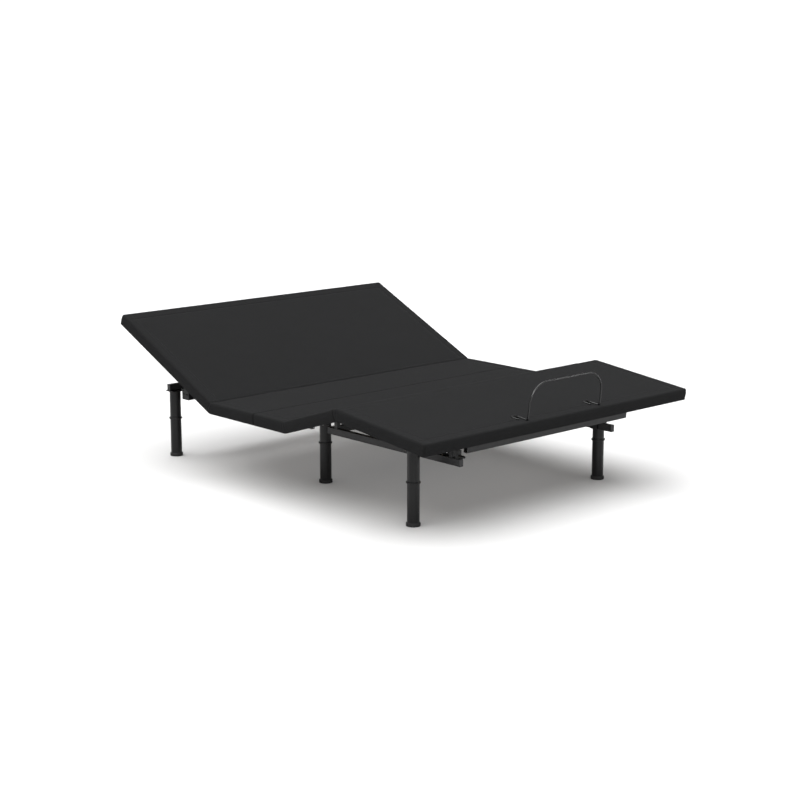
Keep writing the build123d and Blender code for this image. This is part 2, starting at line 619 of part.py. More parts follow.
def retainer():
    """A bent rod that stands at the foot end and stops the mattress from sliding."""
    top = HINGE_DROP + BAR_R + 0.3
    turn_y = HOOK_L - BAR_S

    def end(x):
        """One end, from the hook's tip to the top of its upright."""
        return [(x - HOOK_W, turn_y - HOOK_TIP, top), (x - HOOK_W, turn_y, top), (x, turn_y, top),
                (x, -BAR_S, top), (x, -BAR_S, top + BAR_TALL)]

    bends = [HOOK_BEND, HOOK_BEND, BAR_FOOT_BEND, BAR_BEND]
    path = FilletPolyline(*end(BAR_RIGHT), *reversed(end(BAR_LEFT)), radius=bends + bends[::-1])
    start = Plane(origin=path @ 0, z_dir=path % 0)
    bar = sweep(start * Circle(BAR_R), path=path)
    screws = []
    seat_z = top + WASHER_LIFT
    shank_end = BOARD_BOTTOM + 2
    for x in (BAR_LEFT, BAR_RIGHT):
        place = Pos(x - HOOK_W / 2, turn_y - SCREW_BACK, 0)
        washer = Pos(0, 0, seat_z + WASHER_T / 2) * Cylinder(WASHER_R, WASHER_T)
        head = Pos(0, 0, seat_z + WASHER_T + SCREW_HEAD_T / 2) * Cylinder(SCREW_HEAD_R, SCREW_HEAD_T)
        shank = Pos(0, 0, (seat_z + shank_end) / 2) * Cylinder(SCREW_R, seat_z - shank_end)
        screws.append(place * (washer + head + shank))
    return {"retainer_bar": FOOT * bar, "retainer_screws": group(screws, FOOT)}


def model():
    nodes = {}
    nodes.update(seat())
    nodes.update(section("back", BACK, BACK_L, 1, True))
    nodes.update(section("thigh", THIGH, THIGH_L, -1, False))
    nodes.update(section("foot", FOOT, FOOT_L, -1, True))
    nodes.update(hinges())
    nodes["back_subframe"] = group(subframe(1, BACK_TUBES_L), BACK)
    nodes["thigh_subframe"] = group(subframe(-1, THIGH_TUBES_L), THIGH)
    nodes.update(foot_steel())
    nodes.update(links())
    nodes["head_side_rails"] = rails(HEAD_RAIL_Y)
    nodes["foot_side_rails"] = rails(FOOT_RAIL_Y)
    nodes["head_leg_crossbar"] = crossbar(LEG_BAR_X, HEAD_LEG_Y)
    nodes["mid_leg_crossbar"] = crossbar(SHORT_BAR_X, MID_LEG_Y)
    nodes["foot_leg_crossbar"] = crossbar(LEG_BAR_X, FOOT_LEG_Y)
    nodes["seat_crossbars"] = group([crossbar(SHORT_BAR_X, y) for y in (HIP_BAR_Y, VALLEY_BAR_Y)])
    nodes["frame_posts"] = posts()
    nodes["tube_end_caps"] = end_caps()
    nodes.update(splice())
    nodes.update(headboard_beam())
    nodes.update(rests())
    nodes.update(legs())
    nodes.update(drives())
    nodes.update(retainer())
    return nodes


os.makedirs("parts", exist_ok=True)
for node, shape in model().items():
    export_step(shape, "parts/" + node + ".step")
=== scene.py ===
import bpy
import json
import math
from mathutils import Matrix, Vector, noise


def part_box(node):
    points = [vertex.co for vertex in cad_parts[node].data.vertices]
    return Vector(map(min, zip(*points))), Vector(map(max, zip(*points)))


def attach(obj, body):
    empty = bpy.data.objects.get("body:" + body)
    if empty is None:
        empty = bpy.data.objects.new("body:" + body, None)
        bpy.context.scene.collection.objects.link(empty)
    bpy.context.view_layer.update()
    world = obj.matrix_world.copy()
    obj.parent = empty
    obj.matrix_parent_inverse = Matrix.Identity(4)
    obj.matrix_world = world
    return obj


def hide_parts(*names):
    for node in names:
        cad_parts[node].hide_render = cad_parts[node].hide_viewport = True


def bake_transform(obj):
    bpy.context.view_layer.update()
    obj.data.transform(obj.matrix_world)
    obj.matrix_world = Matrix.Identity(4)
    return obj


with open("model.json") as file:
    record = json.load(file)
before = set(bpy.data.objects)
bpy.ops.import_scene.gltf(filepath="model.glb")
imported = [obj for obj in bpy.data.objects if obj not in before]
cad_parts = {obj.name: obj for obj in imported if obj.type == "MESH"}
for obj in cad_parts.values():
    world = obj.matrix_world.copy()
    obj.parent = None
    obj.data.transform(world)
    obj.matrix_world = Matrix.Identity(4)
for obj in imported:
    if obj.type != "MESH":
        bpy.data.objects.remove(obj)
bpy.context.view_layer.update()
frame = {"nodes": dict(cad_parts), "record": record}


# ---------------------------------------------------------------- places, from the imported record

JOINTS = {joint["name"]: joint for joint in frame["record"]["behaviour"]["joints"]}
BACK_REST = math.radians(-JOINTS["back_hinge"]["range_deg"][0])
THIGH_REST = math.radians(-JOINTS["thigh_hinge"]["range_deg"][0])
KNEE_REST = math.radians(24.05)


def axis_of(joint):
    _, y, z = JOINTS[joint]["pos_m"]
    return y, z


HIP, VALLEY, KNEE = axis_of("back_hinge"), axis_of("thigh_hinge"), axis_of("knee_hinge")


class Fold:
    """A deck that lies flat along s, bent about an axis along X; s is 0 on the axis, n is the height over it.

    Before the fold the deck leans by first, after it by first + turn. way is +1 if s runs toward the head."""

    REACH = 0.013

    def __init__(self, axis, way, first, turn):
        self.axis, self.way, self.first, self.turn = axis, way, first, turn

    def angle(self, s):
        t = min(1.0, max(0.0, (s + self.REACH) / (2 * self.REACH)))
        return self.first + self.turn * t * t * (3 - 2 * t)

    def place(self, x, s, n):
        a = self.angle(s)
        along = s * math.cos(a) - n * math.sin(a)
        up = s * math.sin(a) + n * math.cos(a)
        return Vector((x, self.axis[0] + self.way * along, self.axis[1] + up))

    def normal(self, s):
        a = self.angle(s)
        return Vector((0, -self.way * math.sin(a), math.cos(a)))

    def forward(self, s):
        a = self.angle(s)
        return Vector((0, self.way * math.cos(a), math.sin(a)))

    def ends(self):
        return self.place(0, -self.REACH, 0), self.place(0, self.REACH, 0)


HIP_FOLD = Fold(HIP, 1, 0.0, BACK_REST)
VALLEY_FOLD = Fold(VALLEY, -1, 0.0, THIGH_REST)
KNEE_FOLD = Fold(KNEE, -1, THIGH_REST, -KNEE_REST)

# Deck sizes, in metres
PROUD = 0.003                        # how far foam and fabric stand outside the pads
HALF_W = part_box("back_pad")[1].x + PROUD
TOP, BOTTOM = 0.0235, -0.026         # the panels' top and lower edge, over a hinge axis
BOARD_TOP, BOARD_LOW = 0.010, -0.002
BACK_L, THIGH_L, FOOT_L = 0.711, 0.334, 0.502
FOLD_GAP = 0.014
WRAP = 0.0037                        # fabric and slack outside the boards' edges
SEAM_IN = 0.045                      # border seam in from the edges
SPLIT_Y = 0.037
STRIP_IN = 0.020                     # fabric turned under the edge strips


# ---------------------------------------------------------------- material kit

class Graph:
    """A node material with a principled shader."""

    def __init__(self, name, **shader):
        self.mat = bpy.data.materials.new(name)
        self.mat.use_nodes = True
        self.tree = self.mat.node_tree
        self.tree.nodes.clear()
        out = self.node("ShaderNodeOutputMaterial")
        self.shader = self.node("ShaderNodeBsdfPrincipled")
        self.link(self.shader.outputs[0], out.inputs["Surface"])
        for socket, value in shader.items():
            self.shader.inputs[socket.replace("_", " ")].default_value = value
        self.place = self.node("ShaderNodeTexCoord").outputs["Object"]

    def node(self, kind, **settings):
        made = self.tree.nodes.new(kind)
        for key, value in settings.items():
            setattr(made, key, value)
        return made

    def link(self, a, b):
        self.tree.links.new(a, b)

    def feed(self, socket, value):
        if hasattr(value, "is_output"):
            self.link(value, socket)
        else:
            socket.default_value = value

    def scaled(self, vector, scale, turn=(0, 0, 0)):
        mapping = self.node("ShaderNodeMapping")
        self.link(vector, mapping.inputs["Vector"])
        mapping.inputs["Scale"].default_value = scale
        mapping.inputs["Rotation"].default_value = turn
        return mapping.outputs[0]

    def noise(self, scale, detail=3.0, vector=None, rough=0.55, distortion=0.0):
        made = self.node("ShaderNodeTexNoise")
        self.link(self.place if vector is None else vector, made.inputs["Vector"])
        made.inputs["Scale"].default_value = scale
        made.inputs["Detail"].default_value = detail
        made.inputs["Roughness"].default_value = rough
        made.inputs["Distortion"].default_value = distortion
        return made.outputs["Fac"]

    def cells(self, scale, vector=None, feature="F1"):
        made = self.node("ShaderNodeTexVoronoi", feature=feature)
        self.link(self.place if vector is None else vector, made.inputs["Vector"])
        made.inputs["Scale"].default_value = scale
        return made.outputs

    def math(self, operation, a, b=0.0, c=0.0):
        made = self.node("ShaderNodeMath", operation=operation)
        for socket, value in zip(made.inputs, (a, b, c)):
            self.feed(socket, value)
        return made.outputs[0]

    def span(self, value, low, high, to_low, to_high):
        made = self.node("ShaderNodeMapRange")
        for socket, given in zip(made.inputs, (value, low, high, to_low, to_high)):
            self.feed(socket, given)
        return made.outputs[0]

    def mix(self, share, a, b, blend="MIX"):
        made = self.node("ShaderNodeMix", data_type="RGBA", blend_type=blend)
        self.feed(made.inputs[0], share)
        self.feed(made.inputs[6], a)
        self.feed(made.inputs[7], b)
        return made.outputs[2]

    def ramp(self, value, stops):
        made = self.node("ShaderNodeValToRGB")
        self.link(value, made.inputs[0])
        elements = made.color_ramp.elements
        while len(elements) < len(stops):
            elements.new(0.5)
        for element, (at, colour) in zip(elements, stops):
            element.position = at
            element.color = (*colour, 1.0)
        return made.outputs[0]

    def bump(self, height, distance, strength=1.0, normal=None):
        made = self.node("ShaderNodeBump")
        made.inputs["Strength"].default_value = strength
        made.inputs["Distance"].default_value = distance
        self.link(height, made.inputs["Height"])
        if normal is not None:
            self.link(normal, made.inputs["Normal"])
        return made.outputs[0]

    def finish(self, colour=None, rough=None, normal=None):
        for socket, value in (("Base Color", colour), ("Roughness", rough), ("Normal", normal)):
            if value is not None:
                self.link(value, self.shader.inputs[socket])
        return self.mat


def tint(colour, factor):
    return tuple(min(1.0, c * factor) for c in colour)


def rgba(colour):
    return (*colour, 1.0)


def woven(name, colour, pitch=0.0011):
    """Fine woven upholstery; warp and weft follow the cut of the cloth, kept in the map called cloth."""
    g = Graph(name, Sheen_Weight=0.02, Sheen_Roughness=0.5, Specular_IOR_Level=0.06)
    cloth = g.node("ShaderNodeUVMap", uv_map="cloth").outputs[0]
    split = g.node("ShaderNodeSeparateXYZ")
    g.link(cloth, split.inputs[0])
    turns = 2 * math.pi / (2 * pitch)
    warp = g.math("SINE", g.math("MULTIPLY", split.outputs[0], turns))
    weft = g.math("SINE", g.math("MULTIPLY", split.outputs[1], turns))
    over = g.math("MULTIPLY", warp, weft)
    ridge = g.math("ADD", g.math("ABSOLUTE", warp), g.math("ABSOLUTE", weft))
    height = g.math("ADD", g.math("MULTIPLY", over, 0.35), g.math("MULTIPLY", ridge, 0.5))
    long_warp = g.noise(1.0, 3.0, g.scaled(cloth, (900, 60, 1)))
    long_weft = g.noise(1.0, 3.0, g.scaled(cloth, (60, 900, 1)))
    thread = g.mix(g.span(over, -0.4, 0.4, 0.0, 1.0), long_warp, long_weft)
    broad = g.noise(5.0, 3.0)
    fuzz = g.noise(260.0, 4.0)
    shade = g.ramp(thread, ((0.30, tint(colour, 0.72)), (0.52, colour), (0.74, tint(colour, 1.38))))
    shade = g.mix(g.span(broad, 0.3, 0.7, 0.0, 0.16), shade, rgba(tint(colour, 0.6)))
    # Painted shade: where the weave lies low, between the crossing threads, the colour is mixed up to 22
    # percent toward a darker shade of the cloth.
    shade = g.mix(g.span(height, 0.1, 0.9, 0.22, 0.0), shade, rgba(tint(colour, 0.45)))
    rough = g.span(fuzz, 0.3, 0.7, 0.82, 0.96)
    normal = g.bump(height, 0.00022, 0.6)
    normal = g.bump(fuzz, 0.0006, 0.18, normal)
    return g.finish(shade, rough, normal)


def powder(name, colour, gloss=0.38, peel=0.10, dust=0.10, shine=0.5):
    """Powder coat: orange peel, faint rubbed patches, scuffs and a little dust on what faces up."""
    g = Graph(name, Specular_IOR_Level=shine)
    peel_height = g.noise(650.0, 2.0)
    fine = g.noise(2600.0, 2.0)
    patch = g.noise(9.0, 4.0)
    scuff = g.noise(1.0, 5.0, g.scaled(g.place, (34, 420, 34), (0.3, 0.5, 0.2)), 0.7)
    rubbed = g.span(scuff, 0.63, 0.72, 0.0, 0.5)
    up = g.node("ShaderNodeSeparateXYZ")
    g.link(g.node("ShaderNodeNewGeometry").outputs["Normal"], up.inputs[0])
    speck = g.noise(140.0, 5.0)
    facing_up = g.span(up.outputs[2], 0.6, 1.0, 0.0, dust)
    settled = g.math("MULTIPLY", facing_up, g.span(speck, 0.42, 0.66, 0.2, 1.0))
    shade = g.ramp(patch, ((0.3, tint(colour, 0.86)), (0.55, colour), (0.75, tint(colour, 1.14))))
    shade = g.mix(g.math("MULTIPLY", rubbed, 0.25), shade, rgba(tint(colour, 2.2)))
    shade = g.mix(settled, shade, (0.30, 0.29, 0.27, 1))
    rough = g.span(patch, 0.3, 0.7, gloss - 0.05, gloss + 0.06)
    rough = g.math("ADD", rough, g.math("MULTIPLY", rubbed, 0.12))
    rough = g.math("ADD", rough, g.math("MULTIPLY", settled, 0.8))
    normal = g.bump(peel_height, 0.00025, peel)
    normal = g.bump(fine, 0.00006, peel, normal)
    return g.finish(shade, rough, normal)


def zinc(name, colour=(0.50, 0.50, 0.51)):
    """Bright zinc plate: cloudy, drawn lines and small dull spots."""
    g = Graph(name, Metallic=1.0)
    cloud = g.noise(120.0, 4.0)
    drawn = g.noise(1.0, 3.0, g.scaled(g.place, (60, 2400, 900)))
    spots = g.span(g.noise(420.0, 2.0), 0.66, 0.74, 0.0, 1.0)
    shade = g.ramp(cloud, ((0.32, tint(colour, 0.78)), (0.55, colour), (0.75, tint(colour, 1.2))))
    shade = g.mix(g.math("MULTIPLY", spots, 0.4), shade, rgba(tint(colour, 0.45)))
    rough = g.math("ADD", g.span(cloud, 0.3, 0.7, 0.27, 0.42), g.math("MULTIPLY", spots, 0.2))
    return g.finish(shade, rough, g.bump(drawn, 0.00005, 0.35))


def moulded(name, colour, gloss=0.55, grain=1400.0):
    """Moulded plastic with a spark-eroded texture."""
    g = Graph(name, Specular_IOR_Level=0.4)
    cell = g.cells(grain)[0]
    flow = g.noise(14.0, 3.0)
    fine = g.noise(grain * 1.7, 2.0)
    shade = g.ramp(flow, ((0.3, tint(colour, 0.85)), (0.6, colour), (0.8, tint(colour, 1.25))))
    rough = g.span(fine, 0.3, 0.7, gloss - 0.06, gloss + 0.10)
    normal = g.bump(cell, 0.00012, 0.35)
    return g.finish(shade, rough, g.bump(fine, 0.00005, 0.3, normal))


def rubbery(name, colour):
    """Matt rubber with bloom and dust in its pores."""
    g = Graph(name, Specular_IOR_Level=0.25)
    bloom = g.noise(40.0, 4.0)
    pores = g.noise(1500.0, 3.0)
    shade = g.ramp(bloom, ((0.35, colour), (0.6, tint(colour, 1.3)), (0.8, tint(colour, 2.0))))
    rough = g.span(bloom, 0.3, 0.7, 0.72, 0.9)
    return g.finish(shade, rough, g.bump(pores, 0.00015, 0.5))


def twisted(name, colour):
    """Spun polyester thread: fine slanting plies with loose fibres."""
    g = Graph(name, Sheen_Weight=0.05, Specular_IOR_Level=0.2)
    plies = g.noise(1.0, 2.0, g.scaled(g.place, (1900, 1900, 700), (0.6, 0.5, 0.4)))
    fibre = g.noise(5200.0, 2.0)
    # Painted shade and painted highlight: the colour follows the ply relief, darker in the grooves between
    # plies and lighter on their crests.
    shade = g.ramp(plies, ((0.35, tint(colour, 0.6)), (0.52, colour), (0.7, tint(colour, 1.5))))
    return g.finish(shade, g.span(fibre, 0.3, 0.7, 0.6, 0.85), g.bump(plies, 0.0002, 0.5))


def timber(name, colour, along=(3.0, 60.0, 60.0), rings=9.0):
    """Sawn wood: grain bands drawn out along one way, pores and darker growth lines."""
    g = Graph(name, Specular_IOR_Level=0.3)
    drawn = g.scaled(g.place, along)
    wander = g.noise(0.6, 4.0, drawn, 0.6, 0.8)
    band = g.math("SINE", g.math("MULTIPLY", wander, rings * 2 * math.pi))
    pores = g.noise(7.0, 4.0, drawn, 0.7)
    blotch = g.noise(4.0, 3.0)
    shade = g.ramp(g.span(band, -1.0, 1.0, 0.0, 1.0),
                   ((0.05, tint(colour, 0.66)), (0.45, colour), (0.9, tint(colour, 1.18))))
    shade = g.mix(g.span(pores, 0.55, 0.75, 0.0, 0.5), shade, rgba(tint(colour, 0.5)))
    shade = g.mix(g.span(blotch, 0.35, 0.7, 0.0, 0.25), shade, rgba(tint(colour, 0.75)))
    rough = g.span(pores, 0.3, 0.7, 0.62, 0.82)
    return g.finish(shade, rough, g.bump(pores, 0.0004, 0.4))


FABRIC = (0.0080, 0.0081, 0.0084)
MATS = {
    "deck_fabric": woven("deck_fabric_weave", FABRIC),
    "plywood": timber("plywood_grain", (0.235, 0.195, 0.155)),
    "strip_wood": timber("strip_wood_grain", (0.27, 0.225, 0.175), (40.0, 3.0, 40.0), 5.0),
    "zinc_steel": zinc("zinc_steel_plate"),
    "black_plastic": moulded("black_plastic_moulded", (0.014, 0.014, 0.015)),
    "rubber": rubbery("rubber_matt", (0.010, 0.010, 0.010)),
    "drive_housing": moulded("drive_housing_moulded", (0.028, 0.028, 0.030), 0.5, 900.0),
    "bar_paint": powder("bar_paint_coat", (0.006, 0.006, 0.0063), 0.28, 0.05, 0.0, 0.4),
    "leg_paint": powder("leg_paint_coat", (0.0025, 0.0025, 0.0027), 0.32, 0.06, 0.01, 0.25),
    "rail_paint": powder("rail_paint_coat", (0.011, 0.011, 0.0115), 0.40, 0.10, 0.02, 0.25),
    "frame_paint": powder("frame_paint_coat", (0.0035, 0.0035, 0.0038), 0.36, 0.10, 0.01, 0.22),
}
THREAD = twisted("seam_thread", (0.019, 0.019, 0.020))

SLOT_OF = {part["node"]: part["material_slot"] for part in frame["record"]["subparts"]}
for node, obj in frame["nodes"].items():
    mat = MATS[SLOT_OF[node]]
    if not obj.material_slots:
        obj.data.materials.append(mat)
    for held in obj.material_slots:
        held.material = mat


# ---------------------------------------------------------------- mesh kit

def new_object(name, verts, faces, slot, mat=None):
    mesh = bpy.data.meshes.new(name)
    mesh.from_pydata([tuple(v) for v in verts], [], faces)
    mesh.update()
    obj = bpy.data.objects.new(name, mesh)
    bpy.context.scene.collection.objects.link(obj)
    mesh.materials.append(mat or MATS[slot])
    mesh.polygons.foreach_set("use_smooth", [True] * len(mesh.polygons))
    return obj


def steps(marks, pitch):
    """Sorted positions that hold every mark, with gaps of at most pitch."""
    marks = sorted(set(round(m, 7) for m in marks))
    out = [marks[0]]
    for a, b in zip(marks, marks[1:]):
        count = max(1, math.ceil((b - a) / pitch - 1e-6))
        out += [a + (b - a) * k / count for k in range(1, count + 1)]
    return out


def round_marks(edge, inward, radius, count=4):
    """Positions that turn a rounded edge in even steps."""
    return [edge + inward * radius * (1 - math.tan(math.pi / 4 * k / count)) for k in range(count + 1)]


def seam_marks(at):
    return [at + d for d in (-0.014, -0.008, -0.0045, -0.0022, 0, 0.0022, 0.0045, 0.008, 0.014)]


# ---------------------------------------------------------------- upholstered covers

CLOTH_T = 0.0009                     # thickness of the cloth where it turns under
SEAM_GAP = 0.0015                    # from the seat's split to each half
CROWN = 0.0016                       # foam stands up in the middle of a panel
GROOVE, GROOVE_W = 0.0013, 0.0028    # depth and width of the groove at a seam
HOLLOW, HOLLOW_W = 0.0011, 0.016     # and of the foam pulled down beside it
SLACK, SLACK_W = 0.0007, 0.012       # and of the ripples along it
DIP, DIP_W = 0.0008, 0.012           # at the crease of a fold
FOLD_WAVE, FOLD_WAVE_W = 0.0012, 0.0009      # ripples beside the crease
EASE, EASE_W = 0.0008, 0.016         # slack on the sides, and how far in the top starts to move
CREASE, CREASE_W = 0.0010, 0.016     # gathers in the sides at a fold
EDGE_R = 0.0080                      # roundings of the fabric over the panels' edges
LOW_R = 0.003
PITCH, SIDE_PITCH = 0.0125, 0.0062   # widest mesh on top and down the sides
FOLD_ROWS, FOLD_ROW = 11, 0.0022     # rows on each side of a fold, and their pitch
BULGE = 0.0020                       # how far the fabric stands out at the middle of a side
SAG = 0.0015                         # and hangs under the panels' lower edge


def seam_drop(d, ripple):
    """How deep the top lies at a distance from a seam."""
    groove = GROOVE * math.exp(-(d / GROOVE_W) ** 2) + HOLLOW * math.exp(-d / HOLLOW_W)
    return groove + SLACK * math.exp(-d / SLACK_W) * ripple


class End:
    """One end of a cover: at is where the fabric stops, boards where the wood under it stops.

    An outer end is wrapped down over its edge strip; a seam end only turns down behind the next panel."""

    def __init__(self, at, boards, outer):
        self.at, self.boards, self.outer = at, boards, outer
        self.radius = EDGE_R if outer else 0.004


class Cover:
    """Foam and fabric over one or two boards, as one closed shell round the boards' edges."""

    def __init__(self, name, fold, low, high, s_seams, seed):
        self.name, self.fold, self.low, self.high, self.seed = name, fold, low, high, seed
        self.s_seams = s_seams
        self.x_seams = (-HALF_W + SEAM_IN, HALF_W - SEAM_IN)

    def pull(self, x, s):
        """How far seams, folds and slack move the top at a point, from the flat top."""
        here = Vector((x * 9, s * 9, self.seed))
        drop = DIP * math.exp(-(s / DIP_W) ** 2)
        wrinkle = noise.noise(Vector((x * 42, s * 42, self.seed + 3)))
        for at in self.x_seams:
            d = abs(x - at)
            drop += seam_drop(d, noise.noise(Vector((at * 5, s * 26, self.seed))))
        for at in self.s_seams:
            d = abs(s - at)
            drop += seam_drop(d, noise.noise(Vector((x * 26, at * 5, self.seed))))
        near_fold = math.exp(-(abs(s) - 0.02) ** 2 / FOLD_WAVE_W) if abs(s) > 0.02 else 1.0
        drop += FOLD_WAVE * near_fold * noise.noise(Vector((x * 14, s * 60, self.seed + 7)))
        u = x / HALF_W
        span = self.far - self.near
        v = 2 * (s - self.near) / span - 1
        crown = CROWN * (1 - u ** 4) * (1 - v ** 4)
        return crown - drop + 0.0005 * noise.noise(here) + 0.00022 * wrinkle

    def rounded(self, x, s, n):
        """A point of the square-edged block, moved onto its rounded skin."""
        ls, hs = self.low.at + self.low.radius, self.high.at - self.high.radius
        cx = max(-HALF_W + EDGE_R, min(HALF_W - EDGE_R, x))
        cs = max(ls, min(hs, s))
        cn = max(BOTTOM + LOW_R, min(TOP - EDGE_R, n))
        end_r = self.low.radius if s < ls else self.high.radius
        low_r = LOW_R if n < cn else EDGE_R
        d = Vector(((x - cx) / EDGE_R, (s - cs) / end_r, (n - cn) / low_r))
        outside = sum(1 for c in d if abs(c) > 1e-9)
        if outside > 1:
            d.normalize()
        return cx + d.x * EDGE_R, cs + d.y * end_r, cn + d.z * low_r

    def outer_point(self, x, s, n):
        px, ps, pn = self.rounded(x, s, n)
        inset = min(HALF_W - abs(x), s - self.low.at, self.high.at - s)
        if n >= TOP - 1e-6:
            share = min(1.0, max(0.0, inset / EASE_W))
            pn += share * self.pull(x, s)
        elif abs(x) > HALF_W - 1e-6:
            mid = math.cos((n / TOP) * math.pi / 2) ** 2
            side = 1 if x > 0 else -1
            crease = math.exp(-(s / CREASE_W) ** 2) * math.cos(s * 420 + n * 60)
            slack = noise.noise(Vector((side * 3.0, s * 16, n * 40 + self.seed)))
            px += side * mid * (BULGE + EASE * slack + CREASE * crease)
        else:
            mid = math.cos((n / TOP) * math.pi / 2) ** 2 if abs(n) < TOP else 0.0
            if s >= self.high.at - 1e-6 and self.high.outer:
                ps += mid * (BULGE + EASE * noise.noise(Vector((x * 16, n * 40, self.seed + 9))))
        if n < BOTTOM + LOW_R:
            pn -= SAG
        return self.fold.place(px, ps, pn)

    def inner_point(self, x, s, n):
        reach = HALF_W - WRAP - PROUD
        px = max(-reach, min(reach, x))
        ps = max(self.low.boards, min(self.high.boards, s))
        pn = max(BOTTOM + CLOTH_T, min(BOARD_TOP + 0.0001, n))
        return self.fold.place(px, ps, pn)

    def build(self):
        self.near, self.far = self.low.at, self.high.at
        xs = []
        for side in (-1, 1):
            xs += [side * m for m in round_marks(HALF_W, -1, EDGE_R)]
            xs += [side * (HALF_W - STRIP_IN)]
            xs += seam_marks(side * (HALF_W - SEAM_IN))
        xs = steps(xs, PITCH)
        ss = round_marks(self.low.at, 1, self.low.radius) + round_marks(self.high.at, -1, self.high.radius)
        for at in self.s_seams:
            ss += seam_marks(at)
        for end, inward in ((self.low, 1), (self.high, -1)):
            if end.outer:
                ss.append(end.at + inward * STRIP_IN)
        for k in range(-FOLD_ROWS, FOLD_ROWS + 1):
            if self.low.at + 0.006 < k * FOLD_ROW < self.high.at - 0.006:
                ss.append(k * FOLD_ROW)
        ss = steps([s for s in ss if self.low.at <= s <= self.high.at], PITCH)
        ns = round_marks(TOP, -1, EDGE_R) + round_marks(BOTTOM, 1, LOW_R, 3) + [BOARD_LOW - CLOTH_T + 0.0001]
        ns = steps(ns, SIDE_PITCH)
        i_max, j_max, k_max = len(xs) - 1, len(ss) - 1, len(ns) - 1

        cells = []      # four lattice points each, turned outward, and a rule for the cloth map

        def cell(a, b, c, d, rule):
            cells.append(((a, b, c, d), rule))

        for i in range(i_max):
            for j in range(j_max):
                cell((i, j, k_max), (i + 1, j, k_max), (i + 1, j + 1, k_max), (i, j + 1, k_max), "top")
                edge_x = min(HALF_W - abs(xs[i]), HALF_W - abs(xs[i + 1])) < STRIP_IN - 1e-6
                edge_x = edge_x and max(HALF_W - abs(xs[i]), HALF_W - abs(xs[i + 1])) < STRIP_IN + 1e-6
                low_s = self.low.outer and ss[j + 1] <= self.low.at + STRIP_IN + 1e-6
                high_s = self.high.outer and ss[j] >= self.high.at - STRIP_IN - 1e-6
                if edge_x or low_s or high_s:
                    cell((i, j, 0), (i, j + 1, 0), (i + 1, j + 1, 0), (i + 1, j, 0), "top")
        for j in range(j_max):
            for k in range(k_max):
                cell((0, j, k), (0, j, k + 1), (0, j + 1, k + 1), (0, j + 1, k), "side")
                cell((i_max, j, k), (i_max, j + 1, k), (i_max, j + 1, k + 1), (i_max, j, k + 1), "side")
        for end, j in ((self.low, 0), (self.high, j_max)):
            for i in range(i_max):
                at_side = min(abs(xs[i]), abs(xs[i + 1])) > HALF_W - STRIP_IN - 1e-6
                for k in range(k_max):
                    if end.outer or at_side or ns[k] > BOARD_LOW - CLOTH_T:
                        points = [(i, j, k), (i + 1, j, k), (i + 1, j, k + 1), (i, j, k + 1)]
                        cell(*(points if j == 0 else points[::-1]), "end")

        index, verts, faces, maps = {}, [], [], []

        def vertex(point, shell):
            key = (point, shell)
            if key not in index:
                x, s, n = xs[point[0]], ss[point[1]], ns[point[2]]
                index[key] = len(verts)
                verts.append(self.outer_point(x, s, n) if shell else self.inner_point(x, s, n))
            return index[key]

        def cloth(point, rule):
            x, s, n = xs[point[0]], ss[point[1]], ns[point[2]]
            if rule == "side":
                return (math.copysign(abs(x) + TOP - n, x), s)
            if rule == "end":
                return (x, s + (TOP - n) * (1 if point[1] else -1))
            return (x, s)

        borders = {}
        for points, rule in cells:
            faces.append([vertex(p, True) for p in points])
            maps.append([cloth(p, rule) for p in points])
            faces.append([vertex(p, False) for p in reversed(points)])
            maps.append([cloth(p, rule) for p in reversed(points)])
            for a, b in zip(points, points[1:] + points[:1]):
                if (b, a) in borders:
                    del borders[(b, a)]
                else:
                    borders[(a, b)] = rule
        for (a, b), rule in borders.items():
            faces.append([vertex(b, True), vertex(a, True), vertex(a, False), vertex(b, False)])
            maps.append([cloth(b, rule), cloth(a, rule), cloth(a, rule), cloth(b, rule)])

        obj = new_object(self.name, verts, faces, "deck_fabric")
        if self.fold.way < 0:
            obj.data.flip_normals()
        layer = obj.data.uv_layers.new(name="cloth")
        flat = []
        for corners in maps:
            flat += corners[::-1] if self.fold.way < 0 else corners
        layer.data.foreach_set("uv", [c for pair in flat for c in pair])
        return obj

    def surface(self, x, s):
        return self.outer_point(x, s, TOP)


def make_cover(cover, a, b, *pads):
    obj = cover.build()
    cover.fold.ends()
    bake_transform(obj)
    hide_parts(*pads)
    return cover


SEAT_HEAD = -(HIP[0] - SPLIT_Y - SEAM_GAP)
SEAT_FOOT = -(SPLIT_Y - SEAM_GAP - VALLEY[0])
KNEE_EDGE = THIGH_L - FOLD_GAP
WRAP_T = 0.0010                      # cloth over a board's end, at the seams between panels

head_half = make_cover(
    Cover("cover_back_and_seat", HIP_FOLD, End(SEAT_HEAD - WRAP_T, SEAT_HEAD, False),
          End(BACK_L + PROUD, BACK_L - WRAP, True), (0.0, BACK_L - SEAM_IN), 1.0),
    "base_frame", "back_section", "back_pad", "seat_head_pad")
thigh_half = make_cover(
    Cover("cover_seat_and_thigh", VALLEY_FOLD, End(SEAT_FOOT - WRAP_T, SEAT_FOOT, False),
          End(KNEE_EDGE + WRAP_T, KNEE_EDGE, False), (0.0,), 2.0),
    "base_frame", "thigh_section", "seat_foot_pad", "thigh_pad")
foot_cover = make_cover(
    Cover("cover_foot", KNEE_FOLD, End(-FOLD_GAP + WRAP_T + 0.0002, -FOLD_GAP + 2 * WRAP_T, False),
          End(FOOT_L + PROUD / 2, FOOT_L - WRAP, True), (FOOT_L - SEAM_IN,), 3.0),
    "thigh_section", "foot_section", "foot_pad")


# ---------------------------------------------------------------- thread, staples and screws

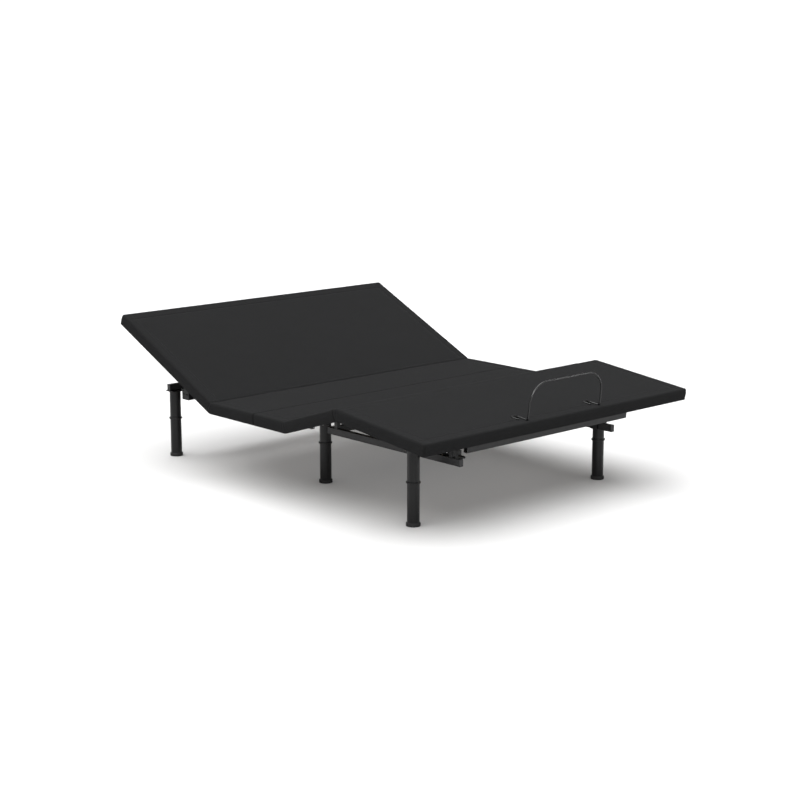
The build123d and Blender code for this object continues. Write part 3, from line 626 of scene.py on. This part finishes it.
def rods(name, runs, radius, slot, mat=None, sides=5):
    """Many short round rods in one mesh, each through its own points, with closed ends."""
    verts, faces = [], []
    for points in runs:
        base = len(verts)
        for k, point in enumerate(points):
            along = (points[min(k + 1, len(points) - 1)] - points[max(k - 1, 0)]).normalized()
            across = along.orthogonal().normalized()
            third = along.cross(across)
            for m in range(sides):
                a = 2 * math.pi * m / sides
                verts.append(point + radius * (math.cos(a) * across + math.sin(a) * third))
        for k in range(len(points) - 1):
            for m in range(sides):
                at, to = base + k * sides, base + (k + 1) * sides
                turn = (m + 1) % sides
                faces.append([at + m, at + turn, to + turn, to + m])
        faces.append([base + m for m in reversed(range(sides))])
        faces.append([base + (len(points) - 1) * sides + m for m in range(sides)])
    return new_object(name, verts, faces, slot, mat)


STITCH, STITCH_PITCH, THREAD_R = 0.0046, 0.0066, 0.00042
STITCH_ASIDE = 0.0042                # the row runs beside its seam, on the inner side


def stitch(cover, x, s, dx, ds):
    """One stitch, that comes out of the cloth, lies on it and goes back in."""
    run = []
    for share, lift in ((0.0, -0.0003), (0.2, 0.00025), (0.5, 0.0004), (0.8, 0.00025), (1.0, -0.0003)):
        px, ps = x + dx * STITCH * share, s + ds * STITCH * share
        run.append(cover.surface(px, ps) + lift * cover.fold.normal(ps))
    return run


def stitching(cover):
    """Rows of stitches inside the border seams and on the head side of the cross seams."""
    runs = []
    s_low, s_high = cover.low.at + 0.006, cover.high.at - 0.010
    for at in cover.x_seams:
        x = at - math.copysign(STITCH_ASIDE, at)
        count = int((s_high - s_low) / STITCH_PITCH)
        runs += [stitch(cover, x, s_low + k * STITCH_PITCH, 0, 1) for k in range(count)]
    x_low = -HALF_W + 0.010
    for at in cover.s_seams:
        count = int(-2 * x_low / STITCH_PITCH)
        row = at - STITCH_ASIDE if at > 0.1 else at + STITCH_ASIDE + Fold.REACH
        runs += [stitch(cover, x_low + k * STITCH_PITCH, row, 1, 0) for k in range(count)]
    return rods("stitching_" + cover.name.removeprefix("cover_"), runs, THREAD_R, "deck_fabric", THREAD)


STAPLE, STAPLE_PITCH, STAPLE_R = 0.0105, 0.052, 0.00055
STAPLE_IN = 0.011


def stapling(cover):
    """Staples through the fabric that is turned under the edge strips, none of them quite straight."""
    low = cover.low.at + 0.03
    high = cover.high.at - (STAPLE_IN if cover.high.outer else 0.03)
    n = BOTTOM - SAG - STAPLE_R * 0.3
    spots = []
    count = int((high - low) / STAPLE_PITCH)
    for side in (-1, 1):
        for k in range(count + 1):
            spots.append((side * (HALF_W - STAPLE_IN), low + (high - low) * k / count, 0.0))
    if cover.high.outer:
        width = 2 * (HALF_W - 3 * STAPLE_IN)
        count = int(width / STAPLE_PITCH)
        spots += [(width * (k / count - 0.5), high, math.pi / 2) for k in range(count + 1)]
    runs = []
    for x, s, turn in spots:
        if abs(s) < 0.03:
            continue
        a = turn + 0.5 * noise.noise(Vector((x * 31, s * 37, cover.seed)))
        dx, ds = math.sin(a) * STAPLE / 2, math.cos(a) * STAPLE / 2
        ends = [(x - dx, s - ds), (x + dx, s + ds)]
        crown = [cover.fold.place(*end, n) for end in ends]
        feet = [cover.fold.place(*end, n + 0.0015) for end in ends]
        runs.append([feet[0], crown[0], crown[1], feet[1]])
    return rods("staples_" + cover.name.removeprefix("cover_"), runs, STAPLE_R, "zinc_steel")


for cover, a, b in ((head_half, "base_frame", "back_section"), (thigh_half, "base_frame", "thigh_section"),
                    (foot_cover, "thigh_section", "foot_section")):
    for made in (stitching(cover), stapling(cover)):
        cover.fold.ends()
        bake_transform(made)

HINGE_X = (-0.600, 0.0, 0.600)
LEAF_UNDER = -0.005                  # underside of the hinge leaves, from the hinge axis
SCREW_R, SCREW_H, RECESS = 0.0042, 0.0017, 0.0009


def screws(name, body, fold, places):
    """Pan head screws that look down out of a panel, with a cross recess in each head."""
    sides, verts, faces = 16, [], []
    rings = ((0.30, 1.0), (0.58, 0.98), (0.88, 0.62), (1.0, 0.0))
    for x, s in places:
        base, down = len(verts), -1 * fold.normal(s)
        spot, ahead = fold.place(x, s, LEAF_UNDER), fold.forward(s)
        spin = 6.0 * noise.noise(Vector((x * 17, s * 91, fold.turn)))
        verts.append(spot + (SCREW_H - RECESS) * down)
        for ring, (share, height) in enumerate(rings):
            for k in range(sides):
                a = 2 * math.pi * k / sides + spin
                sunk = RECESS if ring < 2 and k % 4 == 0 else 0.0
                side = math.cos(a) * Vector((1, 0, 0)) + math.sin(a) * ahead
                verts.append(spot + SCREW_R * share * side + (SCREW_H * height - sunk) * down)
        for k in range(sides):
            turn = (k + 1) % sides
            faces.append([base, base + 1 + turn, base + 1 + k])
            for ring in range(len(rings) - 1):
                at, to = base + 1 + ring * sides, base + 1 + (ring + 1) * sides
                faces.append([at + k, at + turn, to + turn, to + k])
        rim = base + 1 + (len(rings) - 1) * sides
        faces.append([rim + k for k in range(sides)])
    obj = new_object(name, verts, faces, "zinc_steel")
    if fold.way < 0:
        obj.data.flip_normals()
    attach(obj, body)


for fold, title, fixed, moving in ((HIP_FOLD, "hip", "base_frame", "back_section"),
                                   (VALLEY_FOLD, "valley", "base_frame", "thigh_section"),
                                   (KNEE_FOLD, "knee", "thigh_section", "foot_section")):
    for way, body in ((-1, fixed), (1, moving)):
        places = [(x + dx, way * s) for x in HINGE_X for dx in (-0.022, 0.022) for s in (0.027, 0.047)]
        screws(f"{title}_hinge_screws_{body}", body, fold, places)


# ---------------------------------------------------------------- floor, light and camera

def floor_material():
    g = Graph("studio_floor", Specular_IOR_Level=0.1)
    broad = g.noise(0.7, 2.0)
    shade = g.ramp(broad, ((0.3, (0.50, 0.50, 0.50)), (0.7, (0.515, 0.515, 0.515))))
    return g.finish(shade, g.span(broad, 0.3, 0.7, 0.75, 0.85))


FLOOR_REACH = 60.0
mesh = bpy.data.meshes.new("studio_floor")
square = [(x * FLOOR_REACH, y * FLOOR_REACH, 0) for x, y in ((-1, -1), (1, -1), (1, 1), (-1, 1))]
mesh.from_pydata(square, [], [(0, 1, 2, 3)])
floor = bpy.data.objects.new("studio_floor", mesh)
bpy.context.scene.collection.objects.link(floor)
mesh.materials.append(floor_material())

# A white backdrop all round, that only the camera sees
RING, FAR, TALL = 64, 58.0, 50.0
turns = [2 * math.pi * k / RING for k in range(RING)]
corners = [(FAR * math.cos(turn), FAR * math.sin(turn)) for turn in turns]
mesh = bpy.data.meshes.new("studio_backdrop")
mesh.from_pydata([(x, y, z) for z in (0.0, TALL) for x, y in corners], [],
                 [(k, (k + 1) % RING, RING + (k + 1) % RING, RING + k) for k in range(RING)])
backdrop = bpy.data.objects.new("studio_backdrop", mesh)
bpy.context.scene.collection.objects.link(backdrop)
mesh.materials.append(Graph("studio_backdrop", Base_Color=(0, 0, 0, 1), Emission_Color=(1, 1, 1, 1),
                            Emission_Strength=1.05).finish())
backdrop.visible_diffuse = backdrop.visible_glossy = backdrop.visible_shadow = False


def lamp(name, kind, energy, place=(0, 0, 5), aim=(0, 0, 0.25), **settings):
    data = bpy.data.lights.new(name, kind)
    data.energy = energy
    for key, value in settings.items():
        setattr(data, key, value)
    obj = bpy.data.objects.new(name, data)
    obj.location = place
    obj.rotation_euler = (Vector(aim) - Vector(place)).to_track_quat("-Z", "Y").to_euler()
    bpy.context.scene.collection.objects.link(obj)
    return obj


lamp("key_sky", "SUN", 7.5, (-0.8, -0.2, 5.0), (0, 0, 0), angle=math.radians(86))
under = lamp("floor_glow", "AREA", 3.4, (-0.1, 0.0, 0.2), (-0.1, 0.0, 0),
             shape="RECTANGLE", size=1.45, size_y=2.0)
under.visible_camera = under.visible_glossy = False
for name, power, place, wide in (("left_strip", 60.0, (-4.6, 0.5, 2.2), 0.8),
                                 ("right_strip", 60.0, (3.6, -3.6, 2.0), 0.7),
                                 ("front_strip", 500.0, (-3.6, -5.6, 3.4), 1.1)):
    strip = lamp(name, "AREA", power, place, (0, 0, 0.3), shape="RECTANGLE", size=wide, size_y=3.0)
    strip.visible_diffuse = False

HORIZON, SKY = 1.05, 0.18            # strength near the horizon and below it, and above
HORIZON_TOP, SKY_LOW = 0.03, 0.07    # heights of direction where the one fades into the other
LOOK_LOW, LOOK_SPAN = -0.2, 1.0

world = bpy.data.worlds.new("studio")
bpy.context.scene.world = world
world.use_nodes = True
tree = world.node_tree
tree.nodes.clear()
sky = tree.nodes.new("ShaderNodeTexCoord")
split = tree.nodes.new("ShaderNodeSeparateXYZ")
ramp = tree.nodes.new("ShaderNodeValToRGB")
lift = tree.nodes.new("ShaderNodeMapRange")
shine = tree.nodes.new("ShaderNodeBackground")
end = tree.nodes.new("ShaderNodeOutputWorld")
tree.links.new(sky.outputs["Generated"], split.inputs[0])
tree.links.new(split.outputs[2], lift.inputs[0])
lift.inputs["From Min"].default_value = LOOK_LOW
lift.inputs["From Max"].default_value = LOOK_LOW + LOOK_SPAN
tree.links.new(lift.outputs[0], ramp.inputs[0])
for band, at, strength in zip(ramp.color_ramp.elements, (HORIZON_TOP, SKY_LOW), (HORIZON, SKY)):
    band.position = (at - LOOK_LOW) / LOOK_SPAN
    band.color = (strength, strength, strength, 1)
tree.links.new(ramp.outputs[0], shine.inputs["Color"])
tree.links.new(shine.outputs[0], end.inputs["Surface"])

scene = bpy.context.scene
scene.view_settings.view_transform = "Standard"
scene.view_settings.look = "None"
scene.view_settings.exposure = 0.0

CAMERA_AT = (-5.0204, -5.4797, 1.88275)
CAMERA_DOWN, CAMERA_TURN = 11.887, 42.586    # degrees below level, and from +Y toward +X
CAMERA_LENS = 78.307                         # millimetres, on a 36 mm sensor

camera_data = bpy.data.cameras.new("camera")
camera = bpy.data.objects.new("camera", camera_data)
camera.location = CAMERA_AT
camera.rotation_euler = (math.radians(90 - CAMERA_DOWN), 0.0, math.radians(-CAMERA_TURN))
camera_data.lens = CAMERA_LENS
camera_data.sensor_width = 36.0
camera_data.clip_end = 500.0
scene.collection.objects.link(camera)
scene.camera = camera
